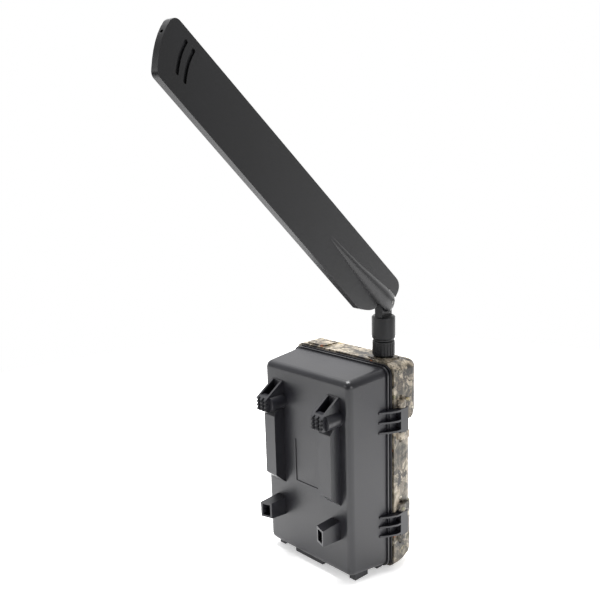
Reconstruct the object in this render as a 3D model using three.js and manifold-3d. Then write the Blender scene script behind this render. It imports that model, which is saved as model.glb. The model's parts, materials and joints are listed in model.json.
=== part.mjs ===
// A trail camera with a clamshell case: a black rear shell that straps to a tree, a camouflaged front shell
// hinged to it on the -X side, and a paddle antenna on a swivel base. Millimetres, +Z up. The lens looks
// along -Y and the tree is on the +Y side. The origin is on the base pad, below the rear shell's middle.
import * as THREE from "three";
import { mergeVertices } from "three/addons/utils/BufferGeometryUtils.js";
import Module from "manifold-3d";

const wasm = await Module();
wasm.setup();

// ---- driving dimensions ----------------------------------------------------------------------------

const SPLIT_Y = -15; // the sealing plane between the two shells
const SEAM = 0.3; // gap between pieces that meet
const RUNNING = 0.08; // radial clearance of a pin that turns in its hole

const FRONT = { width: 86.6, bottom: 0.3, height: 139.7, corner: 6, fillet: 5, draft: 0.4, wall: 2.3 };
const STEP = { side: 2.3, top: 2.2, bottom: 2.1 }; // how far the rear shell stands in from the front one
const CASE = {
  width: FRONT.width - 2 * STEP.side,
  bottom: FRONT.bottom + STEP.bottom,
  height: FRONT.height - STEP.top - STEP.bottom,
  corner: 5,
  wall: 2.4,
};
const frontTop = FRONT.bottom + FRONT.height;
const caseTop = CASE.bottom + CASE.height;
const REAR = { depth: 35.5, fillet: 4, draft: 2.7 };
const RIM = { out: 1, to: 1.6, ledge: 0.8, ledgeFrom: 3, ledgeTo: 4.2 }; // two ledges with a groove between
const SEAL = { width: 1, deep: 1.4, clear: 0.15, inward: 0.3 };
const DEPTH = { middle: 18.2, hood: 24, low: 19.8 }; // how far each part of the front reaches ahead
const HOOD = { down: 39, rise: 7 }; // the hood's sloping underside, measured from the top
const LOW = { top: 44, slope: 1.5 };
const CHIN = { start: 2, rise: 10, end: 20 }; // the sloping bottom face

const HINGE = { inset: 0.2, ahead: 6.5, down: 37.1, lower: 32, length: 15.8, radius: 3.4, lug: 5 };
const hingeX = HINGE.inset - FRONT.width / 2;
const hingeHeights = [frontTop - HINGE.down, HINGE.lower];
const HINGE_NECK = { out: 2.4, in: 4, ahead: 6 };
const HINGE_PIN = { radius: 1.2, short: 0.4 };
const RIB = { thickness: 1.2, pitch: 6.6, reach: 11, raise: 0.5, taper: 5, lead: 2.6, root: 1 };
const POCKET = { inside: 4.6, ahead: 11.4, wall: 1.6 };
const LATCH = { stand: 3, ahead: 8, height: 17, radius: 2.6, plate: 2.2, pin: 1, lug: 3 };
const LATCH_TIP = { behind: 9.5, nose: 2.2 };
const latchX = FRONT.width / 2 + LATCH.stand;
const KEEPER = { from: 4.4, to: 6.6, out: 1.3 }; // the bar that a latch hooks behind
const LATCH_GAP = 0.8; // between a latch's nose and the face of its keeper

const HOOK = { x: 25.3, width: 9.6, reach: 15.5, root: 0.3, cheek: 1.5, down: 13.3, slope: 9.2, tall: 18.9 };
const HOOK_SLOT = { behind: 0.6, floor: 1.5, bridge: 5, step: 0.8 };
const hookTop = caseTop - HOOK.down;
const hookFace = hookTop - HOOK.slope;
const hookBottom = hookTop - HOOK.tall;
const TEETH = { columns: 3, rows: 4, depth: 1.4, width: 2.1 };
const HOOK_RIB = { radius: 5.2, sunk: 2, up: 4.9, reach: 12 }; // the half-round rib on a hook's flank
const RAIL = { width: 9.8, reach: 8.5, below: 4.1, bottom: 60, foot: 52.7, ramp: 3 };
const SOCKET = { width: 8, height: 10.4, z: 35.2, inner: 13, outer: 15.7, wall: 1.3, deep: 12, flare: 1.2 };
const LABEL = { width: 20, bottom: 57.5, height: 29.5, deep: 0.5 };
const FOOT = { width: 5, inset: 8, spans: [[-12, -7], [2, 14]] };
const PAD = { left: -7.2, right: 18.5, from: -8, to: 15 };
const TRIPOD = { x: 0, y: 8, radius: 4.6, bore: 3.1, height: 9, boss: 2.4 };
const JACK = { x: 12, y: 3, radius: 3, socket: 4.2, height: 10, plug: 5, plugTop: 2.6, boss: 1.6, pin: 1 };

const SEAT = { size: 17, depth: 14, corner: 2.5, proud: 0.9 };
const ANTENNA = { x: -27.4, y: -24, seat: frontTop + SEAT.proud };
const NUT = { radius: 7.2, height: 10.2, flutes: 22, flute: 0.45, bore: 4.4, lead: 1.2 };
const BASE = { radius: 7.4, height: 16, chamfer: 0.9, pivot: 24.9, tongue: 5, round: 6.6, foot: 0.7 };
const BLADE = { length: 241, tip: 13.6, root: 18.8, thickness: 3.6, lean: 53, heading: 103 };
const SPINE = { start: 7.2, end: 0.8, length: 104 };
const SLOT = { length: 14.8, width: 2.2, first: 11.8, pitch: 5.7, deep: 0.9, bend: 2.3, aside: 1.8 };
const BLADE_PIN = { radius: 1.6, short: 0.6 };
const VENT = { radius: 0.8, aside: 4, deep: 5 };

const BOARD = { bottom: 12, down: 16, thickness: 1.6, ahead: 6.9, corner: 2 };
const boardTop = frontTop - BOARD.down;
const PANEL = { ahead: 1, thickness: 2, clear: 0.5, chin: 3 };
const SCREW_AT = { side: 7.3, low: 14.5, down: 10.5 };
const SCREW = { head: 2.5, high: 0.8, shank: 1.1, length: 9, slotWidth: 0.6, slotLong: 3.6, slotDeep: 0.4 };
const POST = { radius: 3, pilot: 1.4 };
const boardWidth = FRONT.width - 2 * (SCREW_AT.side + POST.radius); // the board fits between the posts
const SCREEN = { width: 42, height: 32, down: 23, thickness: 2.8, frame: 2 };
const screenZ = boardTop - SCREEN.down;
const KEY = { radius: 3.6, travel: 0.8, proud: 0.8, flange: 4.2, down: 31, across: 12, rise: 8.9, pad: 2.4 };
const keyZ = screenZ - KEY.down;
const SWITCH = { x: 22, z: 47, width: 9, height: 6.4, knob: 3.4, travel: 4, half: 1.8 };
const BAY = { from: -3, to: 27, bottom: 17, top: 41 };
const CARD_SOCKET = { clear: 0.3, shell: 0.4, stand: 0.2 };
const SD = { width: 24, length: 32, thickness: 2.1, z: 29, grip: 3, travel: 12 };
const SIM = { width: 12, length: 15, thickness: 0.8, z: 50, grip: 2.5, travel: 8 };
const CARD_CORNER = 2; // the cut corner of a card
const SIM_BAY = { from: -6, to: 10, margin: 0.5 };
const USB = { x: 12, width: 9, height: 3.4, length: 7.5, top: 17, skin: 0.4, tongue: 0.7 };
const CHIPS = [
  { x: [-24, -10], z: [52, 66], thickness: 1.4 },
  { x: [4, 16], z: [54, 64], thickness: 1.2 },
  { x: [-28, -20], z: [36, 46], thickness: 2.4 },
];

const LED_WINDOW = { width: 66, height: 25, corner: 4, down: 18, thickness: 1.8, ledge: 2 };
const ledZ = frontTop - LED_WINDOW.down;
const LEDS = { columns: 7, rows: 3, pitch: 7, radius: 2.4, length: 2.6, back: 7.6, board: 1.2, margin: 9 };
const LENS = { down: 39, window: 11, thickness: 1.6, rim: 4.5, barrel: 6.6, wall: 1.4, ledge: 2, gap: 0.8 };
const lensZ = ledZ - LENS.down;
const BEZEL = { height: 2.6, clear: 0.4, chamfer: 1.6, lip: 2 };
const SENSOR = { size: 16, thickness: 2.8 };
const PIR = { width: 36, height: 19, corner: 7, z: 28, bulge: 6, wall: 1.2, curve: 5, straight: 1.8 };
const PIR_CAN = { radius: 4.6, height: 4, window: [4, 3] };
const SPEAKER = { x: 24, below: 5, radius: 8, holes: 5, hole: 1, ring: 3.6, magnet: 5.5 };
const STATUS = { x: 26, z: 58, radius: 2.2 };
const MICROPHONE = { x: -26, below: 5, hole: 0.8 };
const SMA = { thread: 3.1, flange: 5.6, flangeHeight: 2.4, tail: 2, tailLength: 2.6, well: 2.2, above: 7 };
const MODEM = { x: -18, down: 20, width: 26, height: 24, thickness: 2.4 };
const LEAD = 0.65; // the coaxial lead's radius

const CELL = { radius: 7.1, length: 50.3, between: 0.6, nub: 2.6, nubHeight: 1.1 };
const TRAY = { wall: 1.6, row: 54, bottom: 13, from: 3, floor: 20, side: 0.4, behindCell: 1.6, deep: 0.4 };
const TRAY_POST = { x: 8, half: 3, bottom: 66, top: 74 };
const CRADLE = { half: 1.6, height: 5.5, end: 6 };
const STRIP = { thickness: 0.5, gap: 0.2, half: 5, spring: 2.4 };
const OVER = 1; // how far a cutter passes the face it opens, or a root goes into the wall it joins

// ---- solids ----------------------------------------------------------------------------------------

// A closed geometry as a solid that can be joined and cut.
function solidOf(geometry) {
  const bare = geometry.clone();
  bare.deleteAttribute("normal");
  bare.deleteAttribute("uv");
  const merged = mergeVertices(bare, 1e-4);
  return new wasm.Manifold(
    new wasm.Mesh({
      numProp: 3,
      vertProperties: merged.attributes.position.array,
      triVerts: new Uint32Array(merged.index.array),
    }),
  );
}

function meshOf(name, solid, material) {
  const made = solid.getMesh();
  const geometry = new THREE.BufferGeometry();
  geometry.setAttribute("position", new THREE.BufferAttribute(made.vertProperties, 3));
  geometry.setIndex(new THREE.BufferAttribute(made.triVerts, 1));
  geometry.computeVertexNormals();
  const mesh = new THREE.Mesh(geometry, material);
  mesh.name = name;
  return mesh;
}

function joined(solids) {
  return solids.reduce((sum, next) => sum.add(next));
}

// A block between two limits on each axis.
function block([x0, x1], [y0, y1], [z0, z1]) {
  const geometry = new THREE.BoxGeometry(x1 - x0, y1 - y0, z1 - z0);
  geometry.translate((x0 + x1) / 2, (y0 + y1) / 2, (z0 + z1) / 2);
  return solidOf(geometry);
}

function outline(points) {
  return new THREE.Shape(points.map(([a, b]) => new THREE.Vector2(a, b)));
}

function roundedRect(width, height, corner, centreX = 0, centreY = 0) {
  const shape = new THREE.Shape();
  const [x, y] = [centreX - width / 2, centreY - height / 2];
  shape.moveTo(x + corner, y);
  shape.absarc(x + width - corner, y + corner, corner, -Math.PI / 2, 0);
  shape.absarc(x + width - corner, y + height - corner, corner, 0, Math.PI / 2);
  shape.absarc(x + corner, y + height - corner, corner, Math.PI / 2, Math.PI);
  shape.absarc(x + corner, y + corner, corner, Math.PI, 1.5 * Math.PI);
  return shape;
}

const ALONG = {
  x: new THREE.Matrix4().makeBasis(
    new THREE.Vector3(0, 1, 0), new THREE.Vector3(0, 0, 1), new THREE.Vector3(1, 0, 0)),
  y: new THREE.Matrix4().makeBasis(
    new THREE.Vector3(1, 0, 0), new THREE.Vector3(0, 0, 1), new THREE.Vector3(0, -1, 0)),
  z: new THREE.Matrix4(),
};

// A shape pushed along an axis: drawn in Y-Z for x, X-Z for y and X-Y for z.
function pushed(axis, shape, from, to, curveSegments = 5) {
  const settings = { depth: to - from, bevelEnabled: false, curveSegments };
  const geometry = new THREE.ExtrudeGeometry(shape, settings);
  geometry.applyMatrix4(ALONG[axis]);
  const shift = axis === "y" ? to : from;
  geometry.translate(axis === "x" ? shift : 0, axis === "y" ? shift : 0, axis === "z" ? shift : 0);
  return solidOf(geometry);
}

// A round bar along an axis through a point on the other two axes.
function bar(axis, radius, from, to, [a, b], segments = 20) {
  const geometry = new THREE.CylinderGeometry(radius, radius, to - from, segments);
  const middle = (from + to) / 2;
  if (axis === "x") {
    geometry.rotateZ(-Math.PI / 2);
    geometry.translate(middle, a, b);
  } else if (axis === "y") {
    geometry.translate(a, middle, b);
  } else {
    geometry.rotateX(Math.PI / 2);
    geometry.translate(a, b, middle);
  }
  return solidOf(geometry);
}

// A profile of [radius, height] pairs turned about Z.
function turned(profile, segments = 24) {
  return solidOf(new THREE.LatheGeometry(profile.map(([r, z]) => new THREE.Vector2(r, z)), segments)
    .rotateX(Math.PI / 2));
}

const behind = (distance) => SPLIT_Y + distance;
const ahead = (distance) => SPLIT_Y - distance;

// A drafted box with rounded corners and a rounded closed end, open at the sealing plane. `sense` is 1 for
// one that goes back from the sealing plane and -1 for one that goes ahead.
function tub({ width, height, bottom, corner, fillet, draft, arcs = 5 }, depth, sense, from = 0) {
  const extra = 2 * fillet;
  const shape = roundedRect(width, height, corner);
  const geometry = new THREE.ExtrudeGeometry(shape, {
    depth: depth + extra - 2 * fillet,
    bevelThickness: fillet,
    bevelSize: fillet,
    bevelOffset: -fillet,
    bevelSegments: Math.ceil(arcs / 2),
    curveSegments: arcs,
  });
  geometry.translate(0, 0, fillet - extra);
  const place = geometry.attributes.position;
  for (let i = 0; i < place.count; i += 1) {
    const taper = (draft * place.getZ(i)) / depth;
    place.setX(i, place.getX(i) * (1 - (2 * taper) / width));
    place.setY(i, place.getY(i) * (1 - (2 * taper) / height));
  }
  geometry.applyMatrix4(ALONG.y);
  if (sense > 0) geometry.rotateZ(Math.PI);
  geometry.translate(0, SPLIT_Y, bottom + height / 2);
  const reach = width + height;
  const kept = sense > 0 ? [behind(from), behind(reach)] : [ahead(reach), ahead(from)];
  return solidOf(geometry).intersect(block([-reach, reach], kept, [-reach, 2 * reach]));
}

// ---- materials -------------------------------------------------------------------------------------

function plastic(color, roughness = 0.6) {
  return new THREE.MeshStandardMaterial({ color, roughness, metalness: 0 });
}

function metal(color, roughness = 0.35) {
  return new THREE.MeshStandardMaterial({ color, roughness, metalness: 1 });
}

const MATERIAL = {
  blackShell: plastic("#4d4c51", 0.55),
  camouflage: plastic("#a89f8c", 0.6),
  black: plastic("#2c2b2f", 0.6),
  antenna: plastic("#3a393e", 0.5),
  rubber: plastic("#1d1d1f", 0.85),
  steel: metal("#b9babd"),
  brass: metal("#c8a356"),
  circuit: plastic("#1f5a3c", 0.5),
  darkWindow: plastic("#120c12", 0.1),
  glass: plastic("#9fb0b8", 0.05),
  milky: plastic("#e4e5e2", 0.45),
  screen: plastic("#39424a", 0.15),
  wrap: plastic("#35506e", 0.4),
  card: plastic("#23262b", 0.5),
};

// ---- rear shell ------------------------------------------------------------------------------------

const rearOuter = { ...CASE, fillet: REAR.fillet, draft: REAR.draft };
const rearInner = {
  width: CASE.width - 2 * CASE.wall,
  height: CASE.height - 2 * CASE.wall,
  bottom: CASE.bottom + CASE.wall,
  corner: CASE.corner - CASE.wall,
  fillet: REAR.fillet - CASE.wall + SEAM,
  draft: REAR.draft,
  arcs: 3,
};
const rearFace = behind(REAR.depth);

function rearBody() {
  const ledge = (out) => roundedRect(CASE.width + 2 * out, CASE.height + 2 * out, CASE.corner + out,
    0, CASE.bottom + CASE.height / 2);
  return tub(rearOuter, REAR.depth, 1, SEAM / 2)
    .add(pushed("y", ledge(RIM.out), behind(SEAM / 2), behind(RIM.to)))
    .add(pushed("y", ledge(RIM.ledge), behind(RIM.ledgeFrom), behind(RIM.ledgeTo)));
}

// The groove in the rim that the seal lies in.
function sealRing(width, gap, from, to) {
  const middle = CASE.wall / 2 - SEAL.inward;
  const ring = (inset) => roundedRect(CASE.width - 2 * inset, CASE.height - 2 * inset,
    CASE.corner - inset, 0, CASE.bottom + CASE.height / 2);
  const outer = pushed("y", ring(middle - width / 2 - gap), from, to);
  return outer.subtract(pushed("y", ring(middle + width / 2 + gap), from - OVER, to + OVER));
}

// A strap hook: two sloped cheeks, a bridge, three columns of gripping teeth and a half-round rib on its
// -X flank.
function strapHook(side) {
  const x0 = side * HOOK.x - HOOK.width / 2;
  const x1 = x0 + HOOK.width;
  const tip = rearFace + HOOK.reach;
  const face = tip - TEETH.depth;
  const root = rearFace - OVER;
  const cheek = outline([
    [root, hookBottom], [face, hookBottom], [face, hookFace], [rearFace + HOOK.root, hookTop],
    [root, hookTop],
  ]);
  const between = [x0 + HOOK.cheek, x1 - HOOK.cheek];
  const bridge = face - HOOK_SLOT.bridge;
  const slot = block(between, [rearFace + HOOK_SLOT.behind, bridge],
    [hookBottom + HOOK_SLOT.floor, hookTop + OVER]);
  const ledge = block(between, [bridge - SEAM, tip + OVER], [hookFace + HOOK_SLOT.step, hookTop + OVER]);
  return pushed("x", cheek, x0, x1).subtract(slot).subtract(ledge).add(joined(gripTeeth(x0, tip)))
    .add(hookRib(x0));
}

function hookRib(x0) {
  const z = hookBottom + HOOK_RIB.up;
  const [from, to] = [rearFace - OVER, rearFace + HOOK_RIB.reach];
  const round = bar("y", HOOK_RIB.radius, from, to, [x0 + HOOK_RIB.sunk, z], 28);
  return round.intersect(block([x0 - HOOK_RIB.radius, x0 + HOOK.cheek / 2], [from, to],
    [z - HOOK_RIB.radius, z + HOOK_RIB.radius]));
}

function gripTeeth(x0, tip) {
  const teeth = [];
  const rowPitch = (hookFace - hookBottom) / TEETH.rows;
  const columnPitch = (HOOK.width - TEETH.width) / (TEETH.columns - 1);
  const valley = tip - TEETH.depth;
  const bite = SEAM;
  for (let column = 0; column < TEETH.columns; column += 1) {
    const from = x0 + column * columnPitch;
    const points = [[valley - bite, hookBottom]];
    for (let row = 0; row < TEETH.rows; row += 1) {
      points.push([valley, hookBottom + row * rowPitch]);
      points.push([tip, hookBottom + (row + 0.5) * rowPitch]);
    }
    points.push([valley, hookFace], [valley - bite, hookFace]);
    teeth.push(pushed("x", outline(points), from, from + TEETH.width));
  }
  return teeth;
}

// A standing rail below a hook, with a ramp at its lower end.
function standRail(side) {
  const outer = rearFace + RAIL.reach;
  const root = rearFace - OVER;
  const side0 = side * HOOK.x - RAIL.width / 2;
  const top = hookBottom + SEAM;
  const profile = outline([
    [root, RAIL.foot], [rearFace, RAIL.foot], [outer, RAIL.bottom], [outer, hookBottom - RAIL.below],
    [outer - RAIL.ramp, top], [root, top],
  ]);
  return pushed("x", profile, side0, side0 + RAIL.width);
}

// A square socket, taller at its root, whose mouth faces back and a little inward.
function squareSocket(side) {
  const near = side * (HOOK.x - SOCKET.width / 2);
  const far = side * (HOOK.x + SOCKET.width / 2);
  const root = rearFace - OVER;
  const reach = rearFace + SOCKET.outer;
  const plan = (inset, start, past) => outline([
    [near + side * inset, start], [near + side * inset, rearFace + SOCKET.inner + past],
    [far - side * inset, reach + past], [far - side * inset, start],
  ]);
  const [low, high] = [SOCKET.z - SOCKET.height / 2, SOCKET.z + SOCKET.height / 2];
  const profile = outline([
    [root, low - SOCKET.flare], [reach, low], [reach, high], [root, high + SOCKET.flare],
  ]);
  const outer = pushed("z", plan(0, root, 0), low - SOCKET.flare, high + SOCKET.flare)
    .intersect(pushed("x", profile, Math.min(near, far), Math.max(near, far)));
  const mouth = pushed("z", plan(SOCKET.wall, rearFace + SOCKET.inner - SOCKET.deep, SOCKET.deep),
    low + SOCKET.wall, high - SOCKET.wall);
  return outer.subtract(mouth);
}

// The bore that a hinge pin turns in.
function pinHole(z) {
  const radius = HINGE_PIN.radius + RUNNING;
  return bar("z", radius, z - HINGE.length, z + HINGE.length, [hingeX, ahead(HINGE.ahead)], 16);
}

// One black hinge knuckle, carried out from the rear shell on three ribs.
function rearKnuckle(z) {
  const axisY = ahead(HINGE.ahead);
  const outerX = hingeX - HINGE.radius;
  const innerX = hingeX + HINGE.radius;
  const half = HINGE.length / 2;
  const barrel = bar("z", HINGE.radius, z - half, z + half, [hingeX, axisY], 24);
  const face = block([outerX, hingeX], [axisY - HINGE.radius, axisY + HINGE.radius], [z - half, z + half]);
  const plan = outline([
    [innerX, axisY], [innerX, behind(RIB.reach)], [innerX - RIB.root, behind(RIB.reach)],
    [outerX + RIB.lead, behind(RIB.reach - RIB.taper)], [outerX, behind(0)], [outerX, axisY],
  ]);
  const ribs = [-1, 0, 1].map((step) => {
    const middle = z + RIB.raise + step * RIB.pitch;
    return pushed("z", plan, middle - RIB.thickness / 2, middle + RIB.thickness / 2);
  });
  const web = block([hingeX + RIB.thickness / 2, innerX + RIB.thickness],
    [axisY + RIB.root, behind(RIM.ledgeFrom)], [z - half, z + half]);
  return joined([barrel, face, web, ...ribs]);
}

function keeper(z) {
  return block([CASE.width / 2 - CASE.wall, CASE.width / 2 + KEEPER.out],
    [behind(KEEPER.from), behind(KEEPER.to)], [z - LATCH.height / 2, z + LATCH.height / 2]);
}

const footTop = CASE.bottom + CASE.wall + REAR.draft / 2;

function rearFeet() {
  const feet = [block([PAD.left, PAD.right], [PAD.from, PAD.to], [0, footTop])];
  for (const side of [-1, 1]) {
    const x = side * (CASE.width / 2 - FOOT.inset);
    for (const span of FOOT.spans) {
      feet.push(block([x - FOOT.width / 2, x + FOOT.width / 2], span, [0, footTop]));
    }
  }
  return feet;
}

function rearShell() {
  const additions = [
    ...[-1, 1].flatMap((side) => [strapHook(side), standRail(side), squareSocket(side)]),
    ...hingeHeights.map(rearKnuckle),
    ...hingeHeights.map(keeper),
    ...rearFeet(),
  ];
  const insertBoss = bar("z", TRIPOD.radius + TRIPOD.boss, OVER, TRIPOD.height + TRIPOD.boss,
    [TRIPOD.x, TRIPOD.y], 20);
  const jackBoss = bar("z", JACK.socket + JACK.boss, OVER, JACK.height + OVER, [JACK.x, JACK.y], 20);
  const cavity = tub(rearInner, REAR.depth - CASE.wall, 1, -CASE.corner);
  const label = block([-LABEL.width / 2, LABEL.width / 2], [rearFace - LABEL.deep, rearFace + OVER],
    [LABEL.bottom, LABEL.bottom + LABEL.height]);
  const groove = sealRing(SEAL.width, SEAL.clear, ahead(OVER), behind(SEAL.deep));
  const inserts = [
    bar("z", TRIPOD.radius + SEAM, -OVER, TRIPOD.height + SEAM, [TRIPOD.x, TRIPOD.y], 20),
    bar("z", JACK.socket + SEAM, JACK.plugTop, JACK.height + 2 * OVER, [JACK.x, JACK.y], 20),
    bar("z", JACK.plug + SEAM, -OVER, JACK.plugTop + SEAM, [JACK.x, JACK.y], 20),
  ];
  return rearBody().add(joined(additions)).subtract(cavity).add(insertBoss).add(jackBoss)
    .subtract(joined([label, groove, ...inserts, ...hingeHeights.map(pinHole)]));
}

function tripodInsert() {
  const body = bar("z", TRIPOD.radius, SEAM, TRIPOD.height, [TRIPOD.x, TRIPOD.y], 20);
  return body.subtract(bar("z", TRIPOD.bore, -OVER, TRIPOD.height - OVER, [TRIPOD.x, TRIPOD.y], 20));
}

function powerJack() {
  const body = bar("z", JACK.socket, JACK.plugTop + SEAM, JACK.height, [JACK.x, JACK.y], 20);
  const well = bar("z", JACK.radius, 0, JACK.height - 2 * OVER, [JACK.x, JACK.y], 20);
  const pin = bar("z", JACK.pin, JACK.plugTop + 2 * OVER, JACK.height - OVER, [JACK.x, JACK.y], 12);
  return body.subtract(well).add(pin);
}

function jackPlug() {
  const cap = bar("z", JACK.plug, SEAM, JACK.plugTop - SEAM, [JACK.x, JACK.y], 20);
  const stem = bar("z", JACK.radius - SEAM, OVER, JACK.plugTop + JACK.boss, [JACK.x, JACK.y], 20);
  return cap.add(stem);
}

// ---- battery bay -----------------------------------------------------------------------------------

const cellPitch = 2 * CELL.radius + CELL.between;
const cellY = behind(TRAY.from - TRAY.deep + CELL.radius + TRAY.behindCell);
const bayWidth = 4 * cellPitch + 2 * TRAY.side;

function rowBottom(row) {
  return TRAY.bottom + TRAY.wall + row * (TRAY.row + TRAY.wall);
}

function batteryTray() {
  const outer = block([-bayWidth / 2 - TRAY.wall, bayWidth / 2 + TRAY.wall],
    [behind(TRAY.from), behind(TRAY.floor)], [TRAY.bottom, rowBottom(1) + TRAY.row + TRAY.wall]);
  const rows = [0, 1].map((row) => block([-bayWidth / 2, bayWidth / 2],
    [behind(TRAY.from - OVER), behind(TRAY.floor - TRAY.wall)],
    [rowBottom(row), rowBottom(row) + TRAY.row]));
  const ribs = [];
  for (const row of [0, 1]) {
    for (const step of [-1, 0, 1]) {
      const x = step * cellPitch;
      ribs.push(pushed("z", outline([
        [x - CRADLE.half, behind(TRAY.floor - OVER)], [x + CRADLE.half, behind(TRAY.floor - OVER)],
        [x, behind(TRAY.floor - OVER - CRADLE.height)],
      ]), rowBottom(row) + CRADLE.end, rowBottom(row) + TRAY.row - CRADLE.end));
    }
  }
  const posts = [-TRAY_POST.x, TRAY_POST.x].map((x) => block([x - TRAY_POST.half, x + TRAY_POST.half],
    [behind(TRAY.floor - OVER), behind(REAR.depth - CASE.wall - SEAM)], [TRAY_POST.bottom, TRAY_POST.top]));
  return outer.subtract(joined(rows)).add(joined([...ribs, ...posts]));
}

function cellPlace(row, column) {
  return [(column - 1.5) * cellPitch, rowBottom(row) + TRAY.row / 2];
}

function batteryCell(up) {
  const half = CELL.length / 2;
  const shoulder = half - CELL.nubHeight;
  const solid = turned([
    [0, -half], [CELL.radius, -half], [CELL.radius, shoulder], [CELL.nub, shoulder], [CELL.nub, half],
    [0, half],
  ], 16);
  return up ? solid : solid.rotate([180, 0, 0]);
}

// A nickel-plated strip with four bosses that press on the ends of one row of cells.
function contactStrip(z, towards) {
  const span = (near, far) => [z + towards * near, z + towards * far].sort((a, b) => a - b);
  const reach = (TRAY.row - CELL.length) / 2 - SEAM;
  const plate = block([OVER - bayWidth / 2, bayWidth / 2 - OVER], [cellY - STRIP.half, cellY + STRIP.half],
    span(STRIP.gap, STRIP.gap + STRIP.thickness));
  const springs = [0, 1, 2, 3].map((column) => {
    const [low, high] = span(2 * STRIP.gap, reach);
    return bar("z", STRIP.spring, low, high, [cellPlace(0, column)[0], cellY], 12);
  });
  return joined([plate, ...springs]);
}

// ---- front shell -----------------------------------------------------------------------------------

function frontTub(inset, depth) {
  return tub({
    width: FRONT.width - 2 * inset,
    height: FRONT.height - 2 * inset,
    bottom: FRONT.bottom + inset,
    corner: FRONT.corner - inset,
    fillet: inset ? FRONT.fillet - inset + SEAM : FRONT.fillet,
    draft: FRONT.draft,
    arcs: inset ? 3 : 4,
  }, depth - inset, -1, inset ? -FRONT.corner : SEAM / 2);
}

// The front shell's outside, or its inside when inset by the wall.
function frontForm(inset) {
  const wide = FRONT.width;
  const slab = (points) => pushed("x", outline(points), -wide, wide);
  const past = ahead(2 * DEPTH.hood);
  const back = behind(2 * FRONT.corner);
  const top = 2 * FRONT.height;
  const under = frontTop - HOOD.down + inset;
  const lip = under + HOOD.rise;
  const hoodZone = slab([
    [back, under], [ahead(DEPTH.middle - OVER), under], [ahead(DEPTH.hood + OVER), lip], [past, lip],
    [past, top], [back, top],
  ]);
  const low = LOW.top - inset;
  const lowZone = slab([
    [back, -top], [past, -top], [past, low - LOW.slope], [ahead(DEPTH.low), low - LOW.slope],
    [ahead(DEPTH.middle - OVER), low], [back, low],
  ]);
  const floor = FRONT.bottom + inset;
  const chin = slab([
    [back, -top], [back, floor - SEAM], [ahead(CHIN.start), floor], [ahead(CHIN.end), floor + CHIN.rise],
    [past, floor + 2 * CHIN.rise], [past, -top],
  ]);
  return frontTub(inset, DEPTH.middle)
    .add(frontTub(inset, DEPTH.hood).intersect(hoodZone))
    .add(frontTub(inset, DEPTH.low).intersect(lowZone))
    .subtract(chin);
}

function antennaSeat(x) {
  return pushed("z", roundedRect(SEAT.size, SEAT.depth, SEAT.corner, x, ANTENNA.y),
    frontTop - FRONT.wall - OVER, ANTENNA.seat);
}

// Front-shell lugs above and below a rear knuckle, with the pocket that the knuckle turns in.
function hingeLugs(z) {
  const axisY = ahead(HINGE.ahead);
  const half = HINGE.length / 2;
  const lugs = [-1, 1].map((side) => {
    const near = z + side * (half + SEAM);
    const far = z + side * (half + SEAM + HINGE.lug);
    const [low, high] = [Math.min(near, far), Math.max(near, far)];
    const barrel = bar("z", HINGE.radius, low, high, [hingeX, axisY], 24);
    const neck = block([hingeX - HINGE_NECK.out, hingeX + HINGE_NECK.in], [axisY - HINGE_NECK.ahead, axisY],
      [low, high]);
    return barrel.add(neck);
  });
  return joined(lugs);
}

function hingePocket(z, grow) {
  const half = HINGE.length / 2 + SEAM + grow;
  return block([-FRONT.width, hingeX + POCKET.inside + grow],
    [ahead(POCKET.ahead + grow), grow ? ahead(SEAM / 2) : behind(OVER)], [z - half, z + half]);
}

function panelPosts() {
  return panelScrewPlaces().map(([x, z]) => bar("y", POST.radius, hoodFace + OVER,
    ahead(PANEL.ahead + PANEL.thickness + SEAM), [x, z], 12));
}

function panelScrewPlaces() {
  const x = FRONT.width / 2 - SCREW_AT.side;
  const high = frontTop - SCREW_AT.down;
  return [[-x, SCREW_AT.low], [x, SCREW_AT.low], [-x, high], [x, high]];
}

function latchLugs(z) {
  const axisY = ahead(LATCH.ahead);
  return joined([-1, 1].map((side) => {
    const ends = [z + side * (LATCH.height / 2 + SEAM), z + side * (LATCH.height / 2 + SEAM + LATCH.lug)];
    ends.sort((a, b) => a - b);
    const barrel = bar("z", LATCH.radius, ends[0], ends[1], [latchX, axisY], 20);
    const neck = block([latchX - LATCH.stand - FRONT.wall / 2, latchX],
      [axisY - LATCH.radius, axisY + LATCH.radius - SEAM], ends);
    return barrel.add(neck);
  }));
}

const frontFace = ahead(DEPTH.middle);
const hoodFace = ahead(DEPTH.hood);
const lowFace = ahead(DEPTH.low);
const speakerZ = lensZ - SPEAKER.below;

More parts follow.
